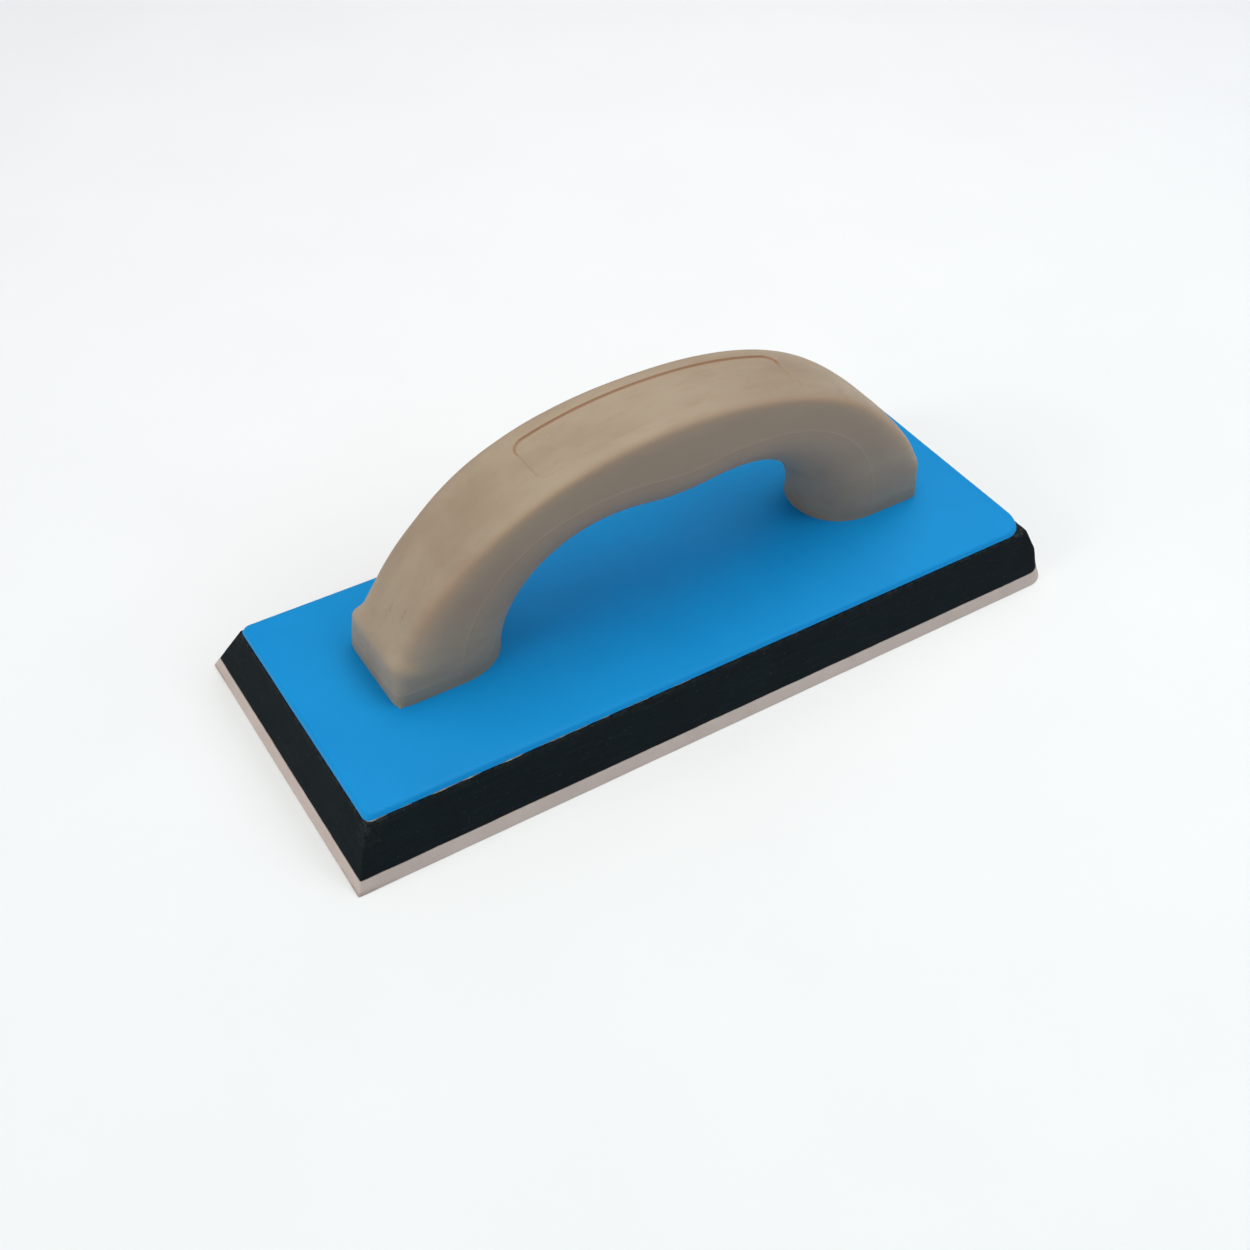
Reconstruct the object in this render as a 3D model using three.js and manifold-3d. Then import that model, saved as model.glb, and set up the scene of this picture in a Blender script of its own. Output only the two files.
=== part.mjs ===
// Gum rubber grout float: gum rubber, foam and a backing plate glued in a bevelled stack, with a
// moulded arch handle screwed to the plate from below.
//
// Millimetres, +Z up. The origin is on the working face, at the middle of the pad. +X runs along
// the pad towards its round-cornered end. The handle stands a little off the middle, towards +Y.

import * as THREE from 'three';
import { mergeVertices } from 'three/addons/utils/BufferGeometryUtils.js';
import Module from 'manifold-3d';

const wasm = await Module();
wasm.setup();

// Pad: overall size at the working face, and the thickness of each layer from the bottom up.
const PAD_LENGTH = 250;
const PAD_WIDTH = 100;
const GUM_THICKNESS = 3.6;
const FACE_GLUE_THICKNESS = 0.2;
const FOAM_THICKNESS = 13.6;
const PLATE_GLUE_THICKNESS = 0.25;
const PLATE_THICKNESS = 1.65;

// Pad edges: the sides lean in evenly from the working face to the plate.
const END_BEVEL_SLOPE = 0.42; // inset of the two ends for each millimetre of height
const SIDE_BEVEL_SLOPE = 0.46; // the same for the two long sides
const GUM_ROUND_CORNER = 8.3; // the rubber's two corners at the +X end, at the working face
const GUM_CORNER_TAPER = 0.45; // how fast that radius shrinks with height
const FOAM_ROUND_CORNER = 6.6; // the foam's, at its bottom
const ROUND_CORNER_TAPER = 0.8; // how fast the foam's radius shrinks with height
const SHARPEST_CORNER = 1; // the radius at which it stops shrinking
const SQUARE_CORNER = 0.6; // the two corners at the -X end, in the rubber and the foam
const PLATE_ROUND_CORNER = 8.2; // the plate's two corners at the +X end
const PLATE_SQUARE_CORNER = 2.2; // the plate's two corners at the -X end
const PLATE_EDGE_RADIUS = 0.6; // softened top edge of the plate
const CORNER_DIVISIONS = 5;
const FOAM_RINGS = 5;

// Handle: the middle of its base on the plate, and its outline in the XZ plane above the plate.
const HANDLE_X = 2;
const HANDLE_Y = 4.4;
const HANDLE_HALF_LENGTH = 94.9;
const END_FACE_LEAN = 0.3; // how far the end face leans in from its base to its top
const TOE_FLARE = 1.6; // how far the toe's top stands out from the crown's superellipse
const TOE_FLARE_REACH = { left: 6, right: 14 }; // height over which it dies away at each end
const CROWN_HALF_LENGTH = 97.2; // semi-axis of the crown's superellipse along X
const CROWN_HEIGHT = 63.6; // top of the crown above the plate
const CROWN_CENTRE = -11; // height of the superellipse's centre
const CROWN_POWER = 2.12;
const CROWN_GRIP_RATIO = 1.12; // length of the grip's stretch of crown to its stretch of underside

// The opening under the grip: straight legs, a superellipse at each bend and a swollen middle.
const OPENING = { halfLength: 55.5, leg: 1, bendX: 34.5, bendZ: 32.3, power: 1.94, swell: 1.5 };

// The mould's parting line: the same kind of outline, further out.
const PARTING = { halfLength: 74.4, leg: 1, bendX: 53.4, bendZ: 47.3, power: 2.2, swell: 1.8 };

// Handle sections: a superellipse on each side of the mould's parting line.
const FOOT_HALF_WIDTH = 16.1;
const GRIP_HALF_WIDTH = 15.55;
const FULL_WIDTH_LEVEL = 50; // level of a section where the grip's width is reached
const LEVEL_SHARE = 0.484; // a section's level is measured this far from its hand side to its crown
const HAND_SIDE_POWER = 2.14; // nearly a half ellipse
const BASE_CROWN_POWER = 12.6; // nearly square corners where the handle meets the plate
// The crown side's power eases to each of these values between two levels.
const LEFT_CROWN_POWERS = [
  { power: 8.2, start: 0, end: 6 }, // the toe
  { power: 4.1, start: 5.9, end: 10 }, // the rounder leg
  { power: 7.7, start: 28, end: 46 }, // the squarer grip
];
const RIGHT_CROWN_POWERS = [
  { power: 8.2, start: 0, end: 6 }, // the toe
  { power: 6.4, start: 5.9, end: 10 }, // a fuller ankle than the left one
  { power: 4.4, start: 13, end: 24 }, // the rounder leg
  { power: 7.7, start: 28, end: 46 }, // the squarer grip
];
const SECTION_POINTS = 36;
const FOOT_STEPS = 2;
const BEND_STEPS = 16;
const GRIP_STEPS = 5;

// Screws: No. 6 countersunk self-tapping screws, two in each foot.
const SCREW_LENGTH = 19;
const SCREW_RADIUS = 1.75;
const SCREW_TIP = 3.5;
const HEAD_RADIUS = 3.3;
const HEAD_LAND = 0.1;
const RECESS_LENGTH = 3.4;
const RECESS_WIDTH = 0.8;
const RECESS_DEPTH = 1.4;
const SCREW_CLEARANCE = 0.15;
const SCREW_OFFSETS = { outer: 85, inner: 67 };
const SCREW_SEGMENTS = 20;

// Heights of the layers, worked out from the thicknesses.
const GUM_TOP = GUM_THICKNESS;
const FOAM_BOTTOM = GUM_TOP + FACE_GLUE_THICKNESS;
const FOAM_TOP = FOAM_BOTTOM + FOAM_THICKNESS;
const PLATE_BOTTOM = FOAM_TOP + PLATE_GLUE_THICKNESS;
const PLATE_TOP = PLATE_BOTTOM + PLATE_THICKNESS;

// The toe is the top of the end face, where the crown's superellipse starts.
const TOE_HALF_LENGTH = HANDLE_HALF_LENGTH - END_FACE_LEAN;
const TOE_ANGLE = crownAngle(TOE_HALF_LENGTH - TOE_FLARE);
const TOE_HEIGHT = crownHeight(TOE_ANGLE);

const materials = {
  gum: { color: 0xc3b5ae, roughness: 0.75, metalness: 0 },
  glue: { color: 0xa98f68, roughness: 0.6, metalness: 0 },
  foam: { color: 0x1b2022, roughness: 0.95, metalness: 0 },
  plate: { color: 0x1d8ccb, roughness: 0.5, metalness: 0 },
  handle: { color: 0xab967c, roughness: 0.6, metalness: 0 },
  screw: { color: 0xb8bbbd, roughness: 0.35, metalness: 1 },
};

// The crown's superellipse by its angle, 0 at its end and a right angle at its top.
function crownHeight(angle) {
  return CROWN_CENTRE + (CROWN_HEIGHT - CROWN_CENTRE) * Math.sin(angle) ** (2 / CROWN_POWER);
}

function crownReach(angle) {
  return CROWN_HALF_LENGTH * Math.cos(angle) ** (2 / CROWN_POWER);
}

function crownAngle(reach) {
  return Math.acos((reach / CROWN_HALF_LENGTH) ** (CROWN_POWER / 2));
}

function part(name, geometry, material) {
  const mesh = new THREE.Mesh(geometry, new THREE.MeshStandardMaterial(materials[material]));
  mesh.name = name;
  return mesh;
}

// A closed skin over convex rings of equal length, each counterclockwise seen from the last one.
function loft(rings) {
  const count = rings[0].length;
  const last = (rings.length - 1) * count;
  const faces = [];
  for (let ring = 0; ring < last; ring += count) {
    for (let j = 0; j < count; j += 1) {
      const a = ring + j;
      const b = ring + ((j + 1) % count);
      faces.push(a, b, b + count, a, b + count, a + count);
    }
  }
  for (let j = 1; j + 1 < count; j += 1) {
    faces.push(0, j + 1, j);
    faces.push(last, last + j, last + j + 1);
  }
  const geometry = new THREE.BufferGeometry().setFromPoints(rings.flat());
  geometry.setIndex(faces);
  geometry.computeVertexNormals();
  return geometry;
}

// A closed three.js geometry as a manifold solid, without the zero-area faces at a lathe's poles.
function toSolid(geometry) {
  const bare = geometry.clone();
  bare.deleteAttribute('normal');
  bare.deleteAttribute('uv');
  const merged = mergeVertices(bare, 1e-5);
  const corners = merged.index.array;
  const faces = [];
  for (let i = 0; i < corners.length; i += 3) {
    const [a, b, c] = corners.slice(i, i + 3);
    if (a !== b && b !== c && c !== a) {
      faces.push(a, b, c);
    }
  }
  const vertProperties = merged.attributes.position.array;
  return new wasm.Manifold(new wasm.Mesh({ numProp: 3, vertProperties, triVerts: new Uint32Array(faces) }));
}

function toGeometry(solid) {
  const mesh = solid.getMesh();
  const geometry = new THREE.BufferGeometry();
  geometry.setAttribute('position', new THREE.BufferAttribute(mesh.vertProperties, 3));
  geometry.setIndex(new THREE.BufferAttribute(mesh.triVerts, 1));
  geometry.computeVertexNormals();
  return geometry;
}

// The body with every tool cut out of it.
function cut(body, tools) {
  return toGeometry(tools.reduce((solid, tool) => solid.subtract(toSolid(tool)), toSolid(body)));
}

// A round solid about the Z axis, from a profile of [radius, height] pairs going upwards.
function turned(profile) {
  const points = profile.map(([radius, height]) => new THREE.Vector2(radius, height));
  return new THREE.LatheGeometry(points, SCREW_SEGMENTS).rotateX(Math.PI / 2);
}

// An outline of the pad at a height, counterclockwise from above, with its two corner radii.
// extra pulls it further in than the bevel does.
function bevelRing(height, round, square, extra = 0) {
  const x = PAD_LENGTH / 2 - height * END_BEVEL_SLOPE - extra;
  const y = PAD_WIDTH / 2 - height * SIDE_BEVEL_SLOPE - extra;
  const outline = new THREE.Shape();
  outline.moveTo(-x, -y + square);
  outline.absarc(-x + square, -y + square, square, Math.PI, 1.5 * Math.PI);
  outline.absarc(x - round, -y + round, round, 1.5 * Math.PI, 2 * Math.PI);
  outline.absarc(x - round, y - round, round, 0, 0.5 * Math.PI);
  outline.absarc(-x + square, y - square, square, 0.5 * Math.PI, Math.PI);
  return outline.getPoints(CORNER_DIVISIONS).map((p) => new THREE.Vector3(p.x, p.y, height));
}

// The rubber's outline at a height.
function gumRing(height) {
  return bevelRing(height, GUM_ROUND_CORNER - height * GUM_CORNER_TAPER, SQUARE_CORNER);
}

// The foam's outline at a height.
function foamRing(height) {
  const round = FOAM_ROUND_CORNER - (height - FOAM_BOTTOM) * ROUND_CORNER_TAPER;
  return bevelRing(height, Math.max(round, SHARPEST_CORNER), SQUARE_CORNER);
}

// The plate's outline at a height.
function plateRing(height, extra = 0) {
  return bevelRing(height, PLATE_ROUND_CORNER - extra, PLATE_SQUARE_CORNER - extra, extra);
}

// A layer from a bottom to a top height, with its rings evenly spaced.
function layer(bottom, top, ringAt, rings = 2) {
  const heights = Array.from({ length: rings }, (_, i) => THREE.MathUtils.lerp(bottom, top, i / (rings - 1)));
  return loft(heights.map((height) => ringAt(height)));
}

// Where the screws stand, relative to the middle of the handle's base.
function screwPlaces() {
  const places = [];
  for (const [side, sign] of [['left', -1], ['right', 1]]) {
    for (const [end, offset] of Object.entries(SCREW_OFFSETS)) {
      places.push({ name: `screw_${side}_${end}`, x: sign * offset });
    }
  }
  return places;
}

// The plate has a softened top edge and a countersunk hole, wide side down, for each screw.
function backingPlate() {
  const edgeStart = PLATE_TOP - PLATE_EDGE_RADIUS;
  const rings = [plateRing(PLATE_BOTTOM)];
  const edgeSteps = 3;
  for (let i = 0; i <= edgeSteps; i += 1) {
    const angle = (i / edgeSteps) * (Math.PI / 2);
    const height = edgeStart + PLATE_EDGE_RADIUS * Math.sin(angle);
    rings.push(plateRing(height, PLATE_EDGE_RADIUS * (1 - Math.cos(angle))));
  }
  const wide = HEAD_RADIUS + SCREW_CLEARANCE;
  const narrow = SCREW_RADIUS + SCREW_CLEARANCE;
  const below = PLATE_BOTTOM - 1;
  const coneStart = PLATE_BOTTOM + HEAD_LAND + SCREW_CLEARANCE;
  const above = PLATE_TOP + 1;
  const profile = [
    [0, below],
    [wide, below],
    [wide, coneStart],
    [narrow, coneStart + wide - narrow],
    [narrow, above],
    [0, above],
  ];
  const holes = screwPlaces().map((place) => turned(profile).translate(HANDLE_X + place.x, HANDLE_Y, 0));
  return cut(loft(rings), holes);
}

// A stretch of the crown: a superellipse that swells outward towards the toe's top.
class CrownCurve extends THREE.Curve {
  constructor(startAngle, endAngle, flareReach) {
    super();
    this.startAngle = startAngle;
    this.endAngle = endAngle;
    this.flareReach = flareReach;
  }

  getPoint(share) {
    const angle = THREE.MathUtils.lerp(this.startAngle, this.endAngle, share);
    const height = crownHeight(angle);
    const flare = TOE_FLARE * Math.exp(-(((height - TOE_HEIGHT) / this.flareReach) ** 2));
    return new THREE.Vector2(-crownReach(angle) - flare, height);
  }
}

// A quarter of a superellipse, from the leg up and over to the end of the grip.
class BendCurve extends THREE.Curve {
  constructor(outline) {
    super();
    this.outline = outline;
  }

  getPoint(share) {
    const { halfLength, leg, bendX, bendZ, power } = this.outline;
    const angle = (share * Math.PI) / 2;
    const x = -(halfLength - bendX) - bendX * Math.cos(angle) ** (2 / power);
    return new THREE.Vector2(x, leg + bendZ * Math.sin(angle) ** (2 / power));
  }
}

// The three stretches of the opening or the parting line: leg, bend and grip.
function stretches(outline) {
  const at = (x, z) => new THREE.Vector2(x, z);
  const { halfLength, leg, bendX, bendZ, swell } = outline;
  const bendEnd = halfLength - bendX;
  const ceiling = leg + bendZ;
  return [
    new THREE.LineCurve(at(-halfLength, 0), at(-halfLength, leg)),
    new BendCurve(outline),
    new THREE.CubicBezierCurve(
      at(-bendEnd, ceiling),
      at(-bendEnd / 2, ceiling),
      at(-bendEnd / 2, ceiling - swell),
      at(0, ceiling - swell)),
  ];
}

// The same three stretches of the crown.
function crownStretches(flareReach) {
  const shoulderAngle = crownAngle(CROWN_GRIP_RATIO * (OPENING.halfLength - OPENING.bendX));
  const base = new THREE.Vector2(-HANDLE_HALF_LENGTH, 0);
  return [
    new THREE.LineCurve(base, new THREE.Vector2(-TOE_HALF_LENGTH, TOE_HEIGHT)),
    new CrownCurve(TOE_ANGLE, shoulderAngle, flareReach),
    new CrownCurve(shoulderAngle, Math.PI / 2, flareReach),
  ];
}

// Matching points of the three lines, from the left foot's base to the middle of the grip.
function halfStations(flareReach) {
  const lines = { outer: crownStretches(flareReach), parting: stretches(PARTING), inner: stretches(OPENING) };
  const pointsAt = (stretch, share) => mapValues(lines, (curves) => curves[stretch].getPoint(share));
  const counts = [FOOT_STEPS, BEND_STEPS, GRIP_STEPS];
  const stations = [];
  for (const [stretch, steps] of counts.entries()) {
    for (let i = 0; i < steps; i += 1) {
      stations.push(pointsAt(stretch, i / steps));
    }
  }
  return [...stations, pointsAt(counts.length - 1, 1)];
}

// The stations along the whole arch. The right half mirrors the left half, but for its flare.
function handleStations() {
  const right = halfStations(TOE_FLARE_REACH.right).slice(0, -1).reverse();
  const mirrored = (station) => mapValues(station, (p) => new THREE.Vector2(-p.x, p.y));
  return [...halfStations(TOE_FLARE_REACH.left), ...right.map(mirrored)];
}

// An object with the same keys, and each value changed.
function mapValues(object, change) {
  return Object.fromEntries(Object.entries(object).map(([key, value]) => [key, change(value)]));
}

// One ring of the handle: a superellipse whose two halves meet at the parting line.
function handleSection({ outer, parting, inner }) {
  const level = THREE.MathUtils.lerp(inner.y, outer.y, LEVEL_SHARE);
  const climb = THREE.MathUtils.clamp(level / FULL_WIDTH_LEVEL, 0, 1);
  const halfWidth = THREE.MathUtils.lerp(FOOT_HALF_WIDTH, GRIP_HALF_WIDTH, climb);
  const powers = outer.x < 0 ? LEFT_CROWN_POWERS : RIGHT_CROWN_POWERS;
  const crownPower = powers.reduce((before, { power, start, end }) => {
    const share = THREE.MathUtils.smoothstep(level, start, end);
    return THREE.MathUtils.lerp(before, power, share);
  }, BASE_CROWN_POWER);
  const ring = [];
  for (let i = 0; i < SECTION_POINTS; i += 1) {
    const angle = (i / SECTION_POINTS) * 2 * Math.PI;
    const [across, out] = [Math.cos(angle), Math.sin(angle)];
    const power = out >= 0 ? crownPower : HAND_SIDE_POWER;
    const y = halfWidth * Math.sign(across) * Math.abs(across) ** (2 / power);
    const p = parting.clone().lerp(out >= 0 ? outer : inner, Math.abs(out) ** (2 / power));
    ring.push(new THREE.Vector3(p.x, y, p.y));
  }
  return ring;
}

// The handle has a blind bore in the base of its feet for each screw.
function handle() {
  const radius = SCREW_RADIUS + SCREW_CLEARANCE;
  const depth = SCREW_LENGTH + SCREW_CLEARANCE;
  const profile = [
    [0, -1],
    [radius, -1],
    [radius, depth - SCREW_TIP],
    [0, depth],
  ];
  const bores = screwPlaces().map((place) => turned(profile).translate(place.x, 0, 0));
  return cut(loft(handleStations().map(handleSection)), bores);
}

// A screw standing on its head, with its point up and a cross recess in the head's face.
function screw() {
  const coneTop = HEAD_LAND + HEAD_RADIUS - SCREW_RADIUS;
  const body = turned([
    [0, 0],
    [HEAD_RADIUS, 0],
    [HEAD_RADIUS, HEAD_LAND],
    [SCREW_RADIUS, coneTop],
    [SCREW_RADIUS, SCREW_LENGTH - SCREW_TIP],
    [0, SCREW_LENGTH],
  ]);
  const slot = new THREE.BoxGeometry(RECESS_LENGTH, RECESS_WIDTH, 2 * RECESS_DEPTH);
  return cut(body, [slot, slot.clone().rotateZ(Math.PI / 2)]);
}

const float = new THREE.Group();
float.add(
  part('gum_rubber_face', layer(0, GUM_TOP, gumRing), 'gum'),
  part('face_adhesive', layer(GUM_TOP, FOAM_BOTTOM, foamRing), 'glue'),
  part('foam_core', layer(FOAM_BOTTOM, FOAM_TOP, foamRing, FOAM_RINGS), 'foam'),
  part('plate_adhesive', layer(FOAM_TOP, PLATE_BOTTOM, plateRing), 'glue'),
  part('backing_plate', backingPlate(), 'plate'),
);

const handleGroup = new THREE.Group();
handleGroup.position.set(HANDLE_X, HANDLE_Y, PLATE_TOP);
handleGroup.add(part('handle', handle(), 'handle'));
for (const place of screwPlaces()) {
  const mesh = part(place.name, screw(), 'screw');
  mesh.position.set(place.x, 0, -PLATE_THICKNESS + HEAD_LAND / 2);
  handleGroup.add(mesh);
}
float.add(handleGroup);

export default float;
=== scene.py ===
import math

import bpy
import numpy as np
from mathutils import Matrix, Vector, noise


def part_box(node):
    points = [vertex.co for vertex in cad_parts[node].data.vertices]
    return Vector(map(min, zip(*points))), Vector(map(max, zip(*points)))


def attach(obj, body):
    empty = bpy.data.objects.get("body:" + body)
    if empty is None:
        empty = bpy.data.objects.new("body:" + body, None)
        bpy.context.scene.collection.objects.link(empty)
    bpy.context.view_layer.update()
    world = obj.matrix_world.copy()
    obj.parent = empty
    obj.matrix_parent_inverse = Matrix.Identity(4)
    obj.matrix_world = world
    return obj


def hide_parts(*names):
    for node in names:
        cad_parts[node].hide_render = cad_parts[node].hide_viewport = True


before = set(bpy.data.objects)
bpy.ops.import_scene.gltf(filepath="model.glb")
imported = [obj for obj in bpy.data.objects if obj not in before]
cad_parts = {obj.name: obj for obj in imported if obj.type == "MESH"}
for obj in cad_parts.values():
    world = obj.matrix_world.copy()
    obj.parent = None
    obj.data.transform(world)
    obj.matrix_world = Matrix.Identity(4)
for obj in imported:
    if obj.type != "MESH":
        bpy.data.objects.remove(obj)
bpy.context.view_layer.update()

# A gum rubber grout float: gum rubber, foam and a backing plate glued in a bevelled stack, with a
# moulded arch handle screwed to the plate. Metres, +Z up, origin on the working face.

MM = 0.001

# Layers of the pad, from the frame.
GUM_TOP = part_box("gum_rubber_face")[1].z
FOAM_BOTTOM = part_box("foam_core")[0].z
FOAM_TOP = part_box("foam_core")[1].z
PLATE_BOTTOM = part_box("backing_plate")[0].z
PLATE_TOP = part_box("backing_plate")[1].z
PAD_HALF_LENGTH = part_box("gum_rubber_face")[1].x
PAD_HALF_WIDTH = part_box("gum_rubber_face")[1].y

# Pad edges, as the CAD part has them.
END_BEVEL_SLOPE = 0.42
SIDE_BEVEL_SLOPE = 0.46
GUM_ROUND_CORNER = 8.3 * MM
GUM_CORNER_TAPER = 0.45
FOAM_ROUND_CORNER = 6.6 * MM
ROUND_CORNER_TAPER = 0.8
SHARPEST_CORNER = 1 * MM
SQUARE_CORNER = 0.6 * MM
PLATE_ROUND_CORNER = 8.2 * MM
PLATE_SQUARE_CORNER = 2.2 * MM
PLATE_EDGE_RADIUS = 0.6 * MM

# The handle's base on the plate, and its outline above the plate, as the CAD part has them.
HANDLE_MIDDLE = (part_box("handle")[0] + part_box("handle")[1]) / 2
HANDLE_X = HANDLE_MIDDLE.x
HANDLE_Y = HANDLE_MIDDLE.y
HANDLE_HALF_LENGTH = 94.9 * MM
END_FACE_LEAN = 0.3 * MM
TOE_FLARE = 1.6 * MM
LEFT_FLARE_REACH = 6 * MM
RIGHT_FLARE_REACH = 14 * MM
CROWN_HALF_LENGTH = 97.2 * MM
CROWN_HEIGHT = 63.6 * MM
CROWN_CENTRE = -11 * MM
CROWN_POWER = 2.12
CROWN_GRIP_RATIO = 1.12
# Half length, leg height, bend's size along X and Z and its power, and the swell of the middle.
OPENING = (55.5 * MM, 1 * MM, 34.5 * MM, 32.3 * MM, 1.94, 1.5 * MM)
PARTING = (74.4 * MM, 1 * MM, 53.4 * MM, 47.3 * MM, 2.2, 1.8 * MM)
FOOT_HALF_WIDTH = 16.1 * MM
GRIP_HALF_WIDTH = 15.55 * MM
FULL_WIDTH_LEVEL = 50 * MM
LEVEL_SHARE = 0.484
HAND_SIDE_POWER = 2.14
BASE_CROWN_POWER = 12.6
# The crown side's power eases to each of these values between two levels.
LEFT_CROWN_POWERS = [(8.2, 0, 6 * MM), (4.1, 5.9 * MM, 10 * MM), (7.7, 28 * MM, 46 * MM)]
RIGHT_CROWN_POWERS = [
    (8.2, 0, 6 * MM),
    (6.4, 5.9 * MM, 10 * MM),
    (4.4, 13 * MM, 24 * MM),
    (7.7, 28 * MM, 46 * MM),
]

# Fine detail on the handle: the sunk panel, the mould's faint ridges, scuffs and nibs of flash.
END_EDGE_SOFTNESS = 0.5 * MM
PANEL_CENTRE = 0.2 * MM
PANEL_HALF_LENGTH = 46 * MM
PANEL_HALF_WIDTH = 8.9 * MM
PANEL_CORNER = 4 * MM
PANEL_DEPTH = 0.55 * MM
PANEL_WALL = 0.4 * MM
# Distance across from the crown's middle over which the painted shade on the panel's wall comes in.
GROOVE_FADE = (3.4 * MM, 5.4 * MM)
RIDGE_HEIGHT = 0.08 * MM
RIDGE_HALF_WIDTH = 0.35 * MM
BASE_LINE_HEIGHT = 4.3 * MM
SURFACE_WAVE = 0.05 * MM
SURFACE_WAVE_LENGTH = 16 * MM
SCUFF_PLACES = [
    (HANDLE_X - 88.6 * MM, HANDLE_Y - 0.5 * MM, PLATE_TOP + 23 * MM),
    (HANDLE_X - 87.3 * MM, HANDLE_Y - 6.5 * MM, PLATE_TOP + 25 * MM),
]
SCUFF_REACH = (4 * MM, 1.1 * MM, 4.5 * MM)
NIB_PLACES = [(-93.8 * MM, -15.4 * MM), (64.5 * MM, -15.4 * MM)]
NIB_LENGTH = 0.6 * MM
NIB_REACH = 0.9 * MM

# Screws, as the CAD part has them, with the thread that the CAD shank leaves out.
SCREW_LENGTH = 19 * MM
SCREW_RADIUS = 1.75 * MM
SCREW_ROOT = 1.25 * MM
SCREW_PITCH = 1.4 * MM
SCREW_TIP = 3.5 * MM
HEAD_RADIUS = 3.3 * MM
HEAD_LAND = 0.1 * MM
RECESS_LENGTH = 3.4 * MM
RECESS_WIDTH = 0.8 * MM
RECESS_DEPTH = 1.4 * MM
SCREW_CLEARANCE = 0.15 * MM
SCREW_NODES = ["screw_left_outer", "screw_left_inner", "screw_right_inner", "screw_right_outer"]

# Camera: where it looks from, and how far the view is slid off the origin.
CAMERA_AZIMUTH = math.radians(-34.917)
CAMERA_ELEVATION = math.radians(44.086)
CAMERA_ROLL = math.radians(3.231)
CAMERA_DISTANCE = 487.03 * MM
CAMERA_SLIDE_RIGHT = -7.962 * MM
CAMERA_SLIDE_UP = -1.956 * MM
CAMERA_LENS = 44.375

# Floor, just under the float.
FLOOR_HALF_SIZE = 4.0
FLOOR_LEVEL = -0.05 * MM


# ---------------------------------------------------------------- stage

def make_camera():
    a, e, r = CAMERA_AZIMUTH, CAMERA_ELEVATION, CAMERA_ROLL
    back = Vector((math.sin(a) * math.cos(e), -math.cos(a) * math.cos(e), math.sin(e)))
    level_right = Vector((math.cos(a), math.sin(a), 0))
    level_up = back.cross(level_right)
    right = level_right * math.cos(r) + level_up * math.sin(r)
    up = level_up * math.cos(r) - level_right * math.sin(r)
    data = bpy.data.cameras.new("camera")
    data.lens = CAMERA_LENS
    data.clip_start = 0.01
    camera = bpy.data.objects.new("camera", data)
    bpy.context.scene.collection.objects.link(camera)
    turn = Matrix((right, up, back)).transposed()
    place = right * CAMERA_SLIDE_RIGHT + up * CAMERA_SLIDE_UP + back * CAMERA_DISTANCE
    camera.matrix_world = Matrix.Translation(place) @ turn.to_4x4()
    bpy.context.scene.camera = camera


def make_softbox(name, place, size, power, colour):
    """A square area light that faces the middle of the float."""
    data = bpy.data.lights.new(name, "AREA")
    data.shape = "SQUARE"
    data.size = size
    data.energy = power
    data.color = colour
    lamp = bpy.data.objects.new(name, data)
    lamp.location = place
    lamp.rotation_mode = "QUATERNION"
    lamp.rotation_quaternion = (-Vector(place)).to_track_quat("-Z", "Y")
    bpy.context.scene.collection.objects.link(lamp)


def make_studio():
    bpy.context.scene.view_settings.view_transform = "Standard"
    world = bpy.data.worlds.new("studio")
    world.use_nodes = True
    background = world.node_tree.nodes["Background"]
    background.inputs["Color"].default_value = (0.53, 0.7, 1.0, 1)
    background.inputs["Strength"].default_value = 0.3
    bpy.context.scene.world = world
    make_softbox("overhead_softbox", (0.05, 0.15, 1.3), 1.2, 11.0, (1.0, 0.95, 0.8))
    make_softbox("front_right_softbox", (0.6, -0.6, 1.0), 0.9, 5.0, (0.9, 1.0, 0.98))
    make_softbox("back_right_softbox", (0.6, 0.6, 1.0), 0.9, 2.7, (1.0, 0.85, 0.85))
    make_softbox("left_fill", (-1.3, 0, 0.4), 0.8, 6.4, (1.0, 1.0, 0.93))
    corners = [(-1, -1), (1, -1), (1, 1), (-1, 1)]
    points = [(x * FLOOR_HALF_SIZE, y * FLOOR_HALF_SIZE, FLOOR_LEVEL) for x, y in corners]
    mesh = bpy.data.meshes.new("floor")
    mesh.from_pydata(points, [], [(0, 1, 2, 3)])
    mesh.materials.append(floor_material())
    floor = bpy.data.objects.new("floor", mesh)
    bpy.context.scene.collection.objects.link(floor)


# ---------------------------------------------------------------- materials

def linear(red, green, blue):
    """An sRGB colour, 0 to 255, as linear RGBA."""
    parts = [c / 255 for c in (red, green, blue)]
    return [c / 12.92 if c <= 0.04045 else ((c + 0.055) / 1.055) ** 2.4 for c in parts] + [1.0]


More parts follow.
